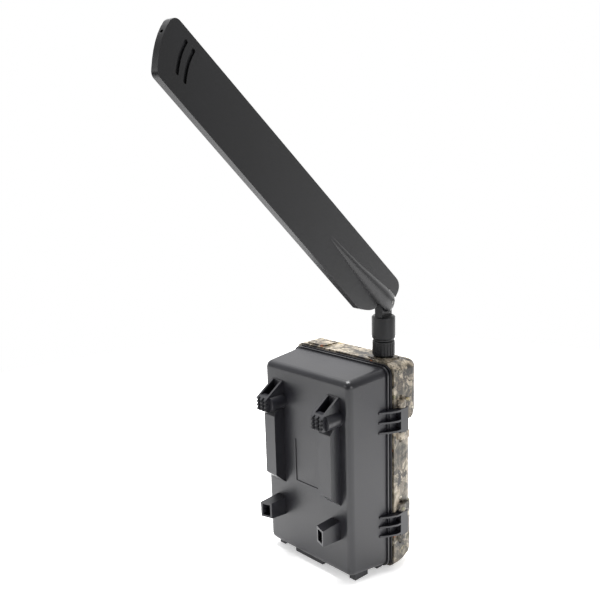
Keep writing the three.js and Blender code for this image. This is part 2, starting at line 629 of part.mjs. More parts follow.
function frontOpenings() {
  const through = 2 * FRONT.wall + OVER;
  const window = (width, height, corner, z, from, deep) =>
    pushed("y", roundedRect(width, height, corner, 0, z), from - OVER, from + deep);
  const hole = (radius, x, z, deep, segments) =>
    bar("y", radius, frontFace - OVER, frontFace + deep, [x, z], segments);
  const cuts = [
    window(LED_WINDOW.width + 2 * SEAM, LED_WINDOW.height + 2 * SEAM, LED_WINDOW.corner, ledZ, hoodFace,
      LED_WINDOW.thickness),
    window(LED_WINDOW.width - 2 * LED_WINDOW.ledge, LED_WINDOW.height - 2 * LED_WINDOW.ledge,
      LED_WINDOW.corner - LED_WINDOW.ledge, ledZ, hoodFace, through),
    window(PIR.width + 2 * SEAM, PIR.height + 2 * SEAM, PIR.corner, PIR.z, lowFace, through),
    hole(LENS.window + SEAM, 0, lensZ, LENS.thickness, 32),
    hole(LENS.window - LENS.ledge, 0, lensZ, through, 32),
    hole(STATUS.radius + SEAM, STATUS.x, STATUS.z, through, 16),
    hole(MICROPHONE.hole, MICROPHONE.x, lensZ - MICROPHONE.below, through, 8),
  ];
  for (let i = 0; i < SPEAKER.holes; i += 1) {
    const angle = (2 * Math.PI * i) / SPEAKER.holes;
    cuts.push(hole(SPEAKER.hole, SPEAKER.x + SPEAKER.ring * Math.sin(angle),
      speakerZ + SPEAKER.ring * Math.cos(angle), through, 8));
  }
  return joined(cuts);
}

function frontShell() {
  const posts = joined(panelPosts()).intersect(frontForm(0));
  const pilots = joined(panelScrewPlaces().map(([x, z]) =>
    bar("y", POST.pilot, ahead(PANEL.ahead + SCREW.length + OVER), SPLIT_Y, [x, z], 12)));
  const pocketShells = joined(hingeHeights.map((z) => hingePocket(z, POCKET.wall))).intersect(frontForm(0));
  const pinHoles = joined(hingeHeights.flatMap((z) => [
    pinHole(z),
    bar("z", LATCH.pin + RUNNING, z - LATCH.height, z + LATCH.height, [latchX, ahead(LATCH.ahead)], 16),
  ]));
  const stemHole = bar("z", SMA.thread + SEAM, frontTop - 2 * SMA.above, ANTENNA.seat + OVER,
    [ANTENNA.x, ANTENNA.y], 20);
  return frontForm(0)
    .add(antennaSeat(ANTENNA.x))
    .add(antennaSeat(-ANTENNA.x))
    .subtract(frontForm(FRONT.wall))
    .add(posts)
    .add(pocketShells)
    .add(joined(hingeHeights.map(latchLugs)))
    .subtract(joined(hingeHeights.map((z) => hingePocket(z, 0))))
    .add(joined(hingeHeights.map(hingeLugs)))
    .subtract(joined([pilots, pinHoles, stemHole, frontOpenings()]));
}

// ---- door hardware ---------------------------------------------------------------------------------

function hingePin(z) {
  const reach = HINGE.length / 2 + SEAM + HINGE.lug - HINGE_PIN.short;
  return bar("z", HINGE_PIN.radius, z - reach, z + reach, [hingeX, ahead(HINGE.ahead)], 16);
}

// A latch lever: a barrel with a stub axle at each end, a plate across the seam and a nose that goes behind
// the keeper.
function latchLever(z) {
  const axisY = ahead(LATCH.ahead);
  const outer = latchX + LATCH.radius;
  const inner = outer - LATCH.plate;
  const nose = CASE.width / 2 + KEEPER.out + LATCH_GAP;
  const tip = behind(LATCH_TIP.behind);
  const half = LATCH.height / 2;
  const plan = outline([
    [inner, axisY], [outer, axisY], [outer, tip - OVER], [outer - OVER, tip], [nose, tip],
    [nose, tip - LATCH_TIP.nose], [inner, tip - LATCH_TIP.nose - OVER],
  ]);
  const barrel = bar("z", LATCH.radius, z - half, z + half, [latchX, axisY], 20);
  const reach = half + LATCH.lug;
  const axle = bar("z", LATCH.pin, z - reach, z + reach, [latchX, axisY], 16);
  return joined([barrel, axle, pushed("z", plan, z - half, z + half)]);
}

// ---- front electronics -----------------------------------------------------------------------------

const panelBack = ahead(PANEL.ahead);
const panelFront = ahead(PANEL.ahead + PANEL.thickness);
const boardBack = ahead(BOARD.ahead);
const boardFront = ahead(BOARD.ahead + BOARD.thickness);

// A cutter through the inner panel.
function panelCut(xs, zs) {
  return block(xs, [panelFront - OVER, panelBack + OVER], zs);
}

function panelHole(radius, x, z, segments) {
  return bar("y", radius, panelFront - OVER, panelBack + OVER, [x, z], segments);
}

function innerPanel() {
  const inset = FRONT.wall + PANEL.clear;
  const plate = pushed("y", roundedRect(FRONT.width - 2 * inset, FRONT.height - 2 * inset - PANEL.chin,
    FRONT.corner - inset, 0, (FRONT.bottom + frontTop + PANEL.chin) / 2), panelFront, panelBack);
  const simHalf = SIM.width / 2 + SIM_BAY.margin;
  const knobHalf = SWITCH.knob / 2 + SEAM;
  const cuts = [
    pushed("y", screenOpening(0), panelFront - OVER, panelBack + OVER),
    panelCut([BAY.from, BAY.to], [BAY.bottom, BAY.top]),
    panelCut([SIM_BAY.from, SIM_BAY.to], [SIM.z - simHalf, SIM.z + simHalf]),
    panelCut([SWITCH.x - SWITCH.half - SEAM, SWITCH.x + SWITCH.half + SEAM + SWITCH.travel],
      [SWITCH.z - knobHalf, SWITCH.z + knobHalf]),
    ...keyPlaces().map(([, x, z]) => panelHole(KEY.radius + SEAM, x, z, 20)),
    ...panelScrewPlaces().map(([x, z]) => panelHole(SCREW.shank + SEAM, x, z, 12)),
    ...hingeHeights.map((z) => hingePocket(z, POCKET.wall + SEAM)),
  ];
  return plate.subtract(joined(cuts));
}

function screenOpening(inset) {
  const frame = 2 * (SCREEN.frame + inset);
  return roundedRect(SCREEN.width - frame, SCREEN.height - frame, SCREEN.frame - inset, 0, screenZ);
}

function keyPlaces() {
  return [
    ["key_up", 0, keyZ + KEY.rise], ["key_down", 0, keyZ - KEY.rise],
    ["key_left", -KEY.across, keyZ], ["key_right", KEY.across, keyZ], ["key_ok", 0, keyZ],
  ];
}

// A push key: a cap through the panel and a flange behind it that keeps it in.
function pushKey(x, z) {
  const behindPanel = panelFront - SEAM;
  const flangeFace = behindPanel - OVER;
  const cap = bar("y", KEY.radius, flangeFace, panelBack + KEY.proud, [x, z], 20);
  return cap.add(bar("y", KEY.flange, flangeFace, behindPanel, [x, z], 20));
}

function mainBoard() {
  const plate = pushed("y", roundedRect(boardWidth, boardTop - BOARD.bottom, BOARD.corner,
    0, (BOARD.bottom + boardTop) / 2), boardFront, boardBack);
  const pads = keyPlaces().map(([, x, z]) => block([x - KEY.pad, x + KEY.pad],
    [boardBack - BOARD.thickness / 2, boardBack + OVER], [z - KEY.pad, z + KEY.pad]));
  const chips = CHIPS.map((chip) => block(chip.x, [boardFront - chip.thickness, boardFront + SEAM], chip.z));
  return joined([plate, ...pads, ...chips]);
}

function screenModule() {
  return block([-SCREEN.width / 2, SCREEN.width / 2],
    [panelFront - SEAM - SCREEN.thickness, panelFront - SEAM],
    [screenZ - SCREEN.height / 2, screenZ + SCREEN.height / 2]);
}

function screenWindow() {
  return pushed("y", screenOpening(SEAM), panelFront + SEAM, panelBack - SEAM);
}

const switchFloor = boardBack + SEAM;

function switchBody() {
  const [high, low] = [SWITCH.z + SWITCH.height / 2, SWITCH.z - SWITCH.height / 2];
  const top = panelFront - 3 * SEAM;
  const body = block([SWITCH.x - SWITCH.width / 2 + SEAM, SWITCH.x + SWITCH.width], [switchFloor, top],
    [low, high]);
  return body.subtract(block([SWITCH.x - SWITCH.half, SWITCH.x + SWITCH.half + SWITCH.travel],
    [switchFloor + OVER, panelFront], [SWITCH.z - SWITCH.half + SEAM, SWITCH.z + SWITCH.half - SEAM]));
}

function switchKnob() {
  const foot = block([SWITCH.x - SWITCH.half + 2 * SEAM, SWITCH.x + SWITCH.half - 2 * SEAM],
    [switchFloor + OVER + SEAM, panelFront + 2 * SEAM], [SWITCH.z - OVER, SWITCH.z + OVER]);
  const head = block([SWITCH.x - SWITCH.half, SWITCH.x + SWITCH.half],
    [panelFront + SEAM, panelBack + KEY.proud],
    [SWITCH.z - SWITCH.knob / 2, SWITCH.z + SWITCH.knob / 2]);
  return foot.add(head);
}

// A card socket: a folded metal shell, open at the end that the card slides out of.
function cardSocket(card, mouth) {
  const { clear, shell, stand } = CARD_SOCKET;
  const end = mouth - (card.length - card.grip) - clear;
  const half = card.width / 2 + clear;
  const low = boardBack + stand;
  const inside = [low + shell, low + shell + 2 * clear + card.thickness];
  const outer = block([end - shell, mouth], [low, inside[1] + shell],
    [card.z - half - shell, card.z + half + shell]);
  return outer.subtract(block([end, mouth + OVER], inside, [card.z - half, card.z + half]));
}

function slidingCard(card, mouth) {
  const low = boardBack + CARD_SOCKET.stand + CARD_SOCKET.shell + CARD_SOCKET.clear;
  const corner = CARD_CORNER;
  const deep = mouth - (card.length - card.grip);
  const [bottom, top] = [card.z - card.width / 2, card.z + card.width / 2];
  return pushed("y", outline([
    [deep, bottom], [deep + card.length, bottom], [deep + card.length, top], [deep + corner, top],
    [deep, top - corner],
  ]), low, low + card.thickness);
}

function usbPort() {
  const half = USB.width / 2;
  const [low, high] = [boardBack + CARD_SOCKET.stand, boardBack + CARD_SOCKET.stand + USB.height];
  const end = USB.top - USB.length;
  const outer = block([USB.x - half, USB.x + half], [low, high], [end, USB.top]);
  const mouth = block([USB.x - half + USB.skin, USB.x + half - USB.skin], [low + USB.skin, high - USB.skin],
    [end + OVER, USB.top + OVER]);
  const middle = (low + high) / 2;
  const tongue = block([USB.x - half / 2, USB.x + half / 2],
    [middle - USB.tongue / 2, middle + USB.tongue / 2],
    [end + USB.skin, USB.top - OVER]);
  return outer.subtract(mouth).add(tongue);
}

function panelScrew(x, z) {
  const under = panelBack + SEAM / 2;
  const top = under + SCREW.high;
  const head = bar("y", SCREW.head, under, top, [x, z], 16);
  const shank = bar("y", SCREW.shank, panelBack - SCREW.length, top - SCREW.slotDeep, [x, z], 12);
  const slot = block([x - SCREW.slotLong / 2, x + SCREW.slotLong / 2], [top - SCREW.slotDeep, top + OVER],
    [z - SCREW.slotWidth / 2, z + SCREW.slotWidth / 2]);
  return head.add(shank).subtract(slot);
}

// ---- optics ----------------------------------------------------------------------------------------

// The image sensor's housing with the lens barrel standing on it.
function cameraModule() {
  const half = SENSOR.size / 2;
  const back = boardFront - SEAM;
  const housing = block([-half, half], [back - SENSOR.thickness, back], [lensZ - half, lensZ + half]);
  const from = frontFace + LENS.thickness + LENS.gap;
  const tube = bar("y", LENS.barrel, from, back - OVER, [0, lensZ], 24);
  const well = bar("y", LENS.barrel - LENS.wall, from - OVER, from + LENS.wall, [0, lensZ], 24);
  return housing.add(tube).subtract(well);
}

function lensGlass() {
  const seat = frontFace + LENS.thickness + LENS.gap + LENS.wall - SEAM;
  const radius = LENS.barrel - LENS.wall - SEAM;
  return turned([
    [0, 0], [radius, 0], [radius, 0.4], [0.8 * radius, 0.8], [0.45 * radius, 1.05], [0, 1.15],
  ], 24).rotate([90, 0, 0]).translate([0, seat, lensZ]);
}

function lensWindow() {
  return bar("y", LENS.window, frontFace, frontFace + LENS.thickness - SEAM, [0, lensZ], 32);
}

function lensBezel() {
  const inner = LENS.window + BEZEL.clear;
  const outer = LENS.window + LENS.rim;
  return turned([
    [inner, 0], [outer, 0], [outer, BEZEL.height - OVER], [outer - BEZEL.chamfer, BEZEL.height],
    [inner + BEZEL.chamfer, BEZEL.height], [inner, OVER], [inner, 0],
  ], 32).rotate([90, 0, 0]).translate([0, frontFace - SEAM / 2, lensZ]);
}

function ledWindow() {
  return pushed("y", roundedRect(LED_WINDOW.width, LED_WINDOW.height, LED_WINDOW.corner, 0, ledZ),
    hoodFace, hoodFace + LED_WINDOW.thickness - SEAM);
}

function ledBoard() {
  const face = hoodFace + LEDS.back;
  const halfAcross = ((LEDS.columns - 1) * LEDS.pitch + 2 * LEDS.margin) / 2;
  const halfUp = LEDS.rows * LEDS.pitch / 2;
  const plate = block([-halfAcross, halfAcross], [face, face + LEDS.board], [ledZ - halfUp, ledZ + halfUp]);
  const lights = [];
  for (let column = 0; column < LEDS.columns; column += 1) {
    for (let row = 0; row < LEDS.rows; row += 1) {
      const place = [
        (column - (LEDS.columns - 1) / 2) * LEDS.pitch,
        ledZ + (row - (LEDS.rows - 1) / 2) * LEDS.pitch,
      ];
      lights.push(bar("y", LEDS.radius, face - LEDS.length, face + SEAM, place, 6));
    }
  }
  return joined([plate, ...lights]);
}

// A bulged lens over the motion sensor: a shell open at the back.
function pirLens() {
  const dome = (inset, seat) => {
    const shape = roundedRect(PIR.width - 2 * inset, PIR.height - 2 * inset, PIR.corner - inset, 0, 0);
    const geometry = new THREE.ExtrudeGeometry(shape, {
      depth: PIR.straight,
      bevelThickness: PIR.bulge - inset,
      bevelSize: PIR.curve,
      bevelOffset: -PIR.curve,
      bevelSegments: 3,
      curveSegments: 3,
    });
    geometry.applyMatrix4(ALONG.y);
    geometry.translate(0, lowFace + PIR.straight, PIR.z);
    return solidOf(geometry).intersect(block([-PIR.width, PIR.width], [2 * lowFace, lowFace + seat],
      [PIR.z - PIR.height, PIR.z + PIR.height]));
  };
  return dome(0, PIR.straight - SEAM).subtract(dome(PIR.wall, PIR.straight + OVER));
}

function pirSensor() {
  const back = boardFront - SEAM;
  const face = back - PIR_CAN.height;
  const [width, height] = PIR_CAN.window;
  const can = bar("y", PIR_CAN.radius, face, back, [0, PIR.z], 20);
  return can.subtract(block([-width / 2, width / 2], [face - OVER, face + SEAM],
    [PIR.z - height / 2, PIR.z + height / 2]));
}

function statusWindow() {
  return bar("y", STATUS.radius, frontFace + SEAM, frontFace + FRONT.wall, [STATUS.x, STATUS.z], 16);
}

function speaker() {
  const face = frontFace + FRONT.wall + SEAM;
  const rim = bar("y", SPEAKER.radius, face, face + 2 * OVER, [SPEAKER.x, speakerZ], 20);
  return rim.add(bar("y", SPEAKER.magnet, face + OVER, face + 4 * OVER, [SPEAKER.x, speakerZ], 20));
}

// ---- antenna ---------------------------------------------------------------------------------------

const modemZ = boardTop - MODEM.down;
const modemFace = boardFront - SEAM - MODEM.thickness;

function modem() {
  return block([MODEM.x - MODEM.width / 2, MODEM.x + MODEM.width / 2], [modemFace, boardFront - SEAM],
    [modemZ - MODEM.height / 2, modemZ + MODEM.height / 2]);
}

const flangeTop = frontTop - FRONT.wall - SEAM;
const flangeBottom = flangeTop - SMA.flangeHeight;

// The bulkhead connector: a hex flange under the shell's top wall and a thread through it.
function smaConnector() {
  const flange = bar("z", SMA.flange, flangeBottom, flangeTop, [0, 0], 6);
  const thread = bar("z", SMA.thread, flangeTop - OVER, ANTENNA.seat + SMA.above, [0, 0], 20);
  const tail = bar("z", SMA.tail, flangeBottom - SMA.tailLength, flangeBottom + OVER, [0, 0], 12);
  const well = bar("z", SMA.well, ANTENNA.seat + 2 * OVER, ANTENNA.seat + SMA.above + OVER, [0, 0], 16);
  return joined([flange, thread, tail]).subtract(well).translate([ANTENNA.x, ANTENNA.y, 0]);
}

// The thin coaxial lead, held from the radio module up to the connector.
function coaxLead() {
  const end = flangeBottom - SMA.tailLength - SEAM;
  const clear = modemFace - LEAD - SEAM;
  const route = new THREE.CatmullRomCurve3([
    new THREE.Vector3(MODEM.x - 6, clear, modemZ + 7),
    new THREE.Vector3(MODEM.x - 7, clear - SEAM, modemZ + 14),
    new THREE.Vector3(ANTENNA.x - 1, ANTENNA.y - 1, end - 9),
    new THREE.Vector3(ANTENNA.x, ANTENNA.y, end - 4),
    new THREE.Vector3(ANTENNA.x, ANTENNA.y, end),
  ]);
  const section = new THREE.Shape().absarc(0, 0, LEAD, 0, 2 * Math.PI);
  return solidOf(new THREE.ExtrudeGeometry(section, { steps: 24, curveSegments: 4, extrudePath: route }));
}

// The knurled nut that screws onto the connector.
function antennaNut() {
  const bottom = ANTENNA.seat + SEAM;
  const top = bottom + NUT.height;
  const body = turned([
    [0, bottom], [NUT.radius - NUT.lead, bottom], [NUT.radius, bottom + NUT.lead], [NUT.radius, top - SEAM],
    [NUT.radius - SEAM, top], [0, top],
  ], NUT.flutes);
  const grooves = [];
  for (let i = 0; i < NUT.flutes; i += 1) {
    const angle = (2 * Math.PI * (i + 0.25)) / NUT.flutes;
    const at = [NUT.radius * Math.cos(angle), NUT.radius * Math.sin(angle)];
    grooves.push(bar("z", NUT.flute, bottom - OVER, top - OVER, at, 6));
  }
  const bore = bar("z", NUT.bore, bottom - OVER, top - NUT.lead, [0, 0], 20);
  return body.subtract(joined(grooves)).subtract(bore).translate([ANTENNA.x, ANTENNA.y, 0]);
}

const baseBottom = ANTENNA.seat + SEAM + NUT.height + SEAM;
const pivotZ = baseBottom + BASE.pivot;

// The swivelling base: a plain barrel with a tongue on top, square to the blade's plane. It is built with
// the blade's plane along X.
function antennaBase() {
  const top = baseBottom + BASE.height;
  const foot = BASE.radius - BASE.foot;
  const body = turned([
    [0, baseBottom], [foot, baseBottom], [foot, baseBottom + BASE.chamfer],
    [BASE.radius, baseBottom + BASE.chamfer + BASE.foot], [BASE.radius, top - BASE.chamfer],
    [BASE.radius - BASE.chamfer, top], [0, top],
  ], 32);
  const half = BASE.tongue / 2;
  const tongue = bar("y", BASE.round, -half, half, [0, pivotZ], 24)
    .add(block([-BASE.round, BASE.round], [-half, half], [top - OVER, pivotZ]));
  const eye = bar("y", BLADE_PIN.radius + RUNNING, -BASE.radius, BASE.radius, [0, pivotZ], 16);
  return body.add(tongue).subtract(eye);
}

// The blade is built upright with its pivot at the origin, its length along Z and its width along X.
function bladePlan() {
  const tip = BLADE.length;
  const shape = new THREE.Shape();
  shape.moveTo(9, 9);
  shape.lineTo(12.5, 14);
  shape.quadraticCurveTo(15.8, 19, 19, 30);
  shape.lineTo(BLADE.tip, tip - 6);
  shape.quadraticCurveTo(BLADE.tip, tip - 3.6, BLADE.tip - 2.4, tip - 2.6);
  shape.quadraticCurveTo(0, tip + 3, -BLADE.tip + 4, tip + 1.4);
  shape.quadraticCurveTo(-BLADE.tip, tip, -BLADE.tip, tip - 4);
  shape.lineTo(-BLADE.root, -4);
  shape.quadraticCurveTo(-BLADE.root, -11.5, -13, -11.5);
  shape.lineTo(-BASE.radius - 1, -10.5);
  shape.lineTo(-BASE.radius - 1, 0);
  shape.lineTo(-4, 9);
  return shape;
}

// A shallow curved groove across the blade, parallel to its tip.
function tipSlot(distance, side) {
  const z = BLADE.length - distance;
  const [left, right] = [-SLOT.aside - SLOT.length / 2, SLOT.length / 2 - SLOT.aside];
  const [w, b] = [SLOT.width / 2, SLOT.bend / 2];
  const shape = new THREE.Shape();
  shape.moveTo(left, z + b - w);
  shape.quadraticCurveTo(-SLOT.aside, z + 2 * b - w, right, z - b - w);
  shape.quadraticCurveTo(right + w, z - b, right, z - b + w);
  shape.quadraticCurveTo(-SLOT.aside, z + 2 * b + w, left, z + b + w);
  shape.quadraticCurveTo(left - w, z + b, left, z + b - w);
  const face = BLADE.thickness / 2;
  const [from, to] = [face - SLOT.deep, face + OVER];
  return side > 0 ? pushed("y", shape, from, to) : pushed("y", shape, -to, -from);
}

function antennaBlade() {
  const half = BLADE.thickness / 2;
  const plate = pushed("y", bladePlan(), -half, half, 6);
  const spine = turned([
    [0, -SPINE.start], [0.72 * SPINE.start, -0.72 * SPINE.start], [SPINE.start, -1], [SPINE.start, 10],
    [0.55 * SPINE.start, 0.42 * SPINE.length], [SPINE.end, SPINE.length], [0, SPINE.length + 1],
  ], 24);
  const cheek = BASE.tongue / 2 + SEAM;
  const clevis = block([-BASE.round - 2 * SEAM, 2 * BASE.round], [-cheek, cheek],
    [-2 * BASE.round, BASE.round + BASE.chamfer + 2 * SEAM]);
  const pin = bar("y", BLADE_PIN.radius + RUNNING, -2 * SPINE.start, 2 * SPINE.start, [0, 0], 16);
  const slots = [-1, 1].flatMap((side) =>
    [tipSlot(SLOT.first, side), tipSlot(SLOT.first + SLOT.pitch, side)]);
  const vent = bar("z", VENT.radius, BLADE.length - VENT.deep, BLADE.length + VENT.deep,
    [-VENT.aside, 0], 10);
  const body = plate.add(spine).subtract(clevis).subtract(pin);
  return body.subtract(joined([...slots, vent]));
}

function bladePin() {
  const reach = SPINE.start - BLADE_PIN.short;
  return bar("y", BLADE_PIN.radius, -reach, reach, [0, 0], 16);
}

// ---- assembly --------------------------------------------------------------------------------------

const camera = new THREE.Group();

function put(name, solid, material, parent = camera) {
  const mesh = meshOf(name, solid, material);
  parent.add(mesh);
  return mesh;
}

put("rear_shell", rearShell(), MATERIAL.blackShell);
put("case_seal", sealRing(SEAL.width, 0, behind(SEAM / 2), behind(SEAL.deep - SEAL.clear)), MATERIAL.rubber);
put("tripod_insert", tripodInsert(), MATERIAL.brass);
put("power_jack", powerJack(), MATERIAL.black);
put("jack_plug", jackPlug(), MATERIAL.rubber);
put("hinge_pin_upper", hingePin(hingeHeights[0]), MATERIAL.steel);
put("hinge_pin_lower", hingePin(hingeHeights[1]), MATERIAL.steel);

put("battery_tray", batteryTray(), MATERIAL.black);
for (const row of [0, 1]) {
  const name = ["lower", "upper"][row];
  put(`contacts_${name}_bottom`, contactStrip(rowBottom(row), 1), MATERIAL.steel);
  put(`contacts_${name}_top`, contactStrip(rowBottom(row) + TRAY.row, -1), MATERIAL.steel);
  for (const column of [0, 1, 2, 3]) {
    const [x, z] = cellPlace(row, column);
    const mesh = put(`battery_${name}_${column + 1}`, batteryCell(column % 2 === 0), MATERIAL.wrap);
    mesh.position.set(x, cellY, z);
  }
}

put("front_shell", frontShell(), MATERIAL.camouflage);
put("latch_upper", latchLever(hingeHeights[0]), MATERIAL.black);
put("latch_lower", latchLever(hingeHeights[1]), MATERIAL.black);

put("inner_panel", innerPanel(), MATERIAL.black);
put("main_board", mainBoard(), MATERIAL.circuit);
put("screen_module", screenModule(), MATERIAL.screen);
put("screen_window", screenWindow(), MATERIAL.glass);
for (const [name, x, z] of keyPlaces()) put(name, pushKey(x, z), MATERIAL.rubber);
put("mode_switch_body", switchBody(), MATERIAL.steel);
put("mode_switch_knob", switchKnob(), MATERIAL.milky);
put("sd_socket", cardSocket(SD, BAY.from), MATERIAL.steel);
put("sd_card", slidingCard(SD, BAY.from), MATERIAL.card);
put("sim_socket", cardSocket(SIM, SIM_BAY.from), MATERIAL.steel);
put("sim_card", slidingCard(SIM, SIM_BAY.from), MATERIAL.milky);
put("usb_port", usbPort(), MATERIAL.steel);
panelScrewPlaces().forEach(([x, z], i) => put(`panel_screw_${i + 1}`, panelScrew(x, z), MATERIAL.steel));

put("camera_module", cameraModule(), MATERIAL.black);
put("lens_glass", lensGlass(), MATERIAL.glass);
put("lens_window", lensWindow(), MATERIAL.glass);
put("lens_bezel", lensBezel(), MATERIAL.black);
put("led_window", ledWindow(), MATERIAL.darkWindow);
put("led_board", ledBoard(), MATERIAL.circuit);
put("motion_lens", pirLens(), MATERIAL.milky);
put("motion_sensor", pirSensor(), MATERIAL.steel);
put("status_window", statusWindow(), MATERIAL.glass);
put("speaker", speaker(), MATERIAL.steel);

put("radio_module", modem(), MATERIAL.steel);
put("antenna_connector", smaConnector(), MATERIAL.brass);
put("antenna_lead", coaxLead(), MATERIAL.rubber);
put("antenna_nut", antennaNut(), MATERIAL.antenna);

// The base stands on the nut, turned to the blade's heading; the blade leans from its pivot.
const swivel = new THREE.Group();
swivel.position.set(ANTENNA.x, ANTENNA.y, 0);
swivel.rotation.z = THREE.MathUtils.degToRad(BLADE.heading);
camera.add(swivel);
put("antenna_base", antennaBase(), MATERIAL.antenna, swivel);

const tilt = new THREE.Group();
tilt.position.z = pivotZ;
tilt.rotation.y = THREE.MathUtils.degToRad(BLADE.lean);
swivel.add(tilt);
put("antenna_blade", antennaBlade(), MATERIAL.antenna, tilt);
put("antenna_pin", bladePin(), MATERIAL.steel, tilt);

export default camera;
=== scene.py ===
import json
import math

import bmesh
import bpy
from mathutils import Matrix, Vector

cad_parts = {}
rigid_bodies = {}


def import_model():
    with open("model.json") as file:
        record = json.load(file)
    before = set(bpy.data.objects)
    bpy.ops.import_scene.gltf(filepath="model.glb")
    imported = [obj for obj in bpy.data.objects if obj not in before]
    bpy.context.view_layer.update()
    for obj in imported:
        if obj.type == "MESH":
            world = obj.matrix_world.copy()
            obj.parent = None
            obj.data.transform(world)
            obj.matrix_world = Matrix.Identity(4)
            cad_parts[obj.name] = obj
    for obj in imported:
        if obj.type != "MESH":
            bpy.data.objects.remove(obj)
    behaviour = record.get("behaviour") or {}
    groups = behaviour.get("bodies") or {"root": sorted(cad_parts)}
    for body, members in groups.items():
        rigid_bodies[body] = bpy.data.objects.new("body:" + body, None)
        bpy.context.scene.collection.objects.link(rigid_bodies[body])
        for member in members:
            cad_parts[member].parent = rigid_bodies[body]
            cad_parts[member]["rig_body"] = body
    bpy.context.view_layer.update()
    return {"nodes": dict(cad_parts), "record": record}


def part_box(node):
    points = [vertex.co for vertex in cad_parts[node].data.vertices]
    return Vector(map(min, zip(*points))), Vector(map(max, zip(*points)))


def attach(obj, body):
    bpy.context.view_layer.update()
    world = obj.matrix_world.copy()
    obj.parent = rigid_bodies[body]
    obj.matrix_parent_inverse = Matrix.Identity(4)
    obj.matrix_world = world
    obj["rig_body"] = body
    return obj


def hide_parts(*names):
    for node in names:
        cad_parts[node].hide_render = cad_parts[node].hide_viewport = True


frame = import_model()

MM = 0.001
nodes = frame["nodes"]

WHITE = [1, 1, 1, 1]
BLACK = [0, 0, 0, 1]


# ---- colours and nodes ---------------------------------------------------------------------------


def paint(hex_colour):
    """An sRGB hex colour as linear RGBA."""
    parts = [int(hex_colour[i:i + 2], 16) / 255 for i in (1, 3, 5)]
    return [p / 12.92 if p <= 0.04045 else ((p + 0.055) / 1.055) ** 2.4 for p in parts] + [1.0]


def grey(level):
    """A plain level, such as a roughness, as a colour that a ramp can hold."""
    return [level] * 3 + [1]


def add(tree, kind, sockets=None, stops=(), between="LINEAR", **settings):
    """Adds a shader node with its settings, its colour stops, its socket values and its links."""
    made = tree.nodes.new("ShaderNode" + kind)
    for name, value in settings.items():
        setattr(made, name, value)
    for socket, value in (sockets or {}).items():
        if isinstance(value, bpy.types.NodeSocket):
            tree.links.new(value, made.inputs[socket])
        else:
            made.inputs[socket].default_value = value
    if stops:
        made.color_ramp.interpolation = between
        while len(made.color_ramp.elements) < len(stops):
            made.color_ramp.elements.new(0.5)
        for element, (position, colour) in zip(made.color_ramp.elements, stops):
            element.position = position
            element.color = colour
    return made


# Sockets of the Mix node when it mixes colours.
SHARE, UNDER, OVER, MIXED = 0, 6, 7, 2
COLOURS = {"data_type": "RGBA", "blend_type": "MIX"}
DARKEN = {"data_type": "RGBA", "blend_type": "MULTIPLY"}


def start_finish(name, **values):
    """A material with one Principled shader, and its node tree."""
    material = bpy.data.materials.new(name)
    material.use_nodes = True
    tree = material.node_tree
    shader = tree.nodes["Principled BSDF"]
    for socket, value in values.items():
        shader.inputs[socket.replace("_", " ")].default_value = value
    return material, tree, shader


def object_place(tree, scale=(1, 1, 1), turn=(0, 0, 0)):
    """Where a point is on the object, in millimetres, stretched and turned for a pattern."""
    place = add(tree, "TexCoord")
    return add(tree, "Mapping", {
        "Vector": place.outputs["Object"],
        "Scale": [s / MM for s in scale],
        "Rotation": turn,
    }).outputs["Vector"]


def grain(tree, shader, pitch_mm, depth_mm, strength):
    """A fine all-over relief, with grains of a real pitch."""
    noise = add(tree, "TexNoise", {
        "Vector": object_place(tree), "Scale": 1 / pitch_mm, "Detail": 2.0, "Roughness": 0.6,
    })
    bump = add(tree, "Bump", {
        "Height": noise.outputs["Fac"], "Strength": strength, "Distance": depth_mm * MM,
    })
    tree.links.new(bump.outputs["Normal"], shader.inputs["Normal"])


# ---- finishes ------------------------------------------------------------------------------------


def spark_eroded_abs():
    """Black ABS moulded in a spark-eroded tool: a fine even grain that spreads the light to a soft grey."""
    cloud_mm, speck_mm = 28, 0.7
    # The real grain is about 0.15 mm across; it is drawn at 0.5 mm so that it shows.
    grain_mm, grain_depth_mm, grain_strength = 0.5, 0.05, 0.5
    material, tree, shader = start_finish("spark_eroded_black_abs", IOR=1.53, Roughness=0.5)
    broad = add(tree, "TexNoise", {"Vector": object_place(tree), "Scale": 1 / cloud_mm, "Detail": 4.0})
    tone = add(tree, "ValToRGB", {"Fac": broad.outputs["Fac"]}, stops=[
        (0.3, paint("#101015")), (0.7, paint("#17171d")),
    ])
    speck = add(tree, "TexNoise", {"Vector": object_place(tree), "Scale": 1 / speck_mm, "Detail": 1.0})
    specks = add(tree, "ValToRGB", {"Fac": speck.outputs["Fac"]}, stops=[
        (0.4, paint("#ffffff")), (0.75, paint("#c9c9cc")),
    ])
    base = add(tree, "Mix", {SHARE: 0.6, UNDER: tone.outputs["Color"], OVER: specks.outputs["Color"]},
               **DARKEN)
    tree.links.new(base.outputs[MIXED], shader.inputs["Base Color"])
    sheen = add(tree, "ValToRGB", {"Fac": broad.outputs["Fac"]}, stops=[(0.3, grey(0.33)), (0.7, grey(0.42))])
    tree.links.new(sheen.outputs["Color"], shader.inputs["Roughness"])
    grain(tree, shader, grain_mm, grain_depth_mm, grain_strength)
    return material


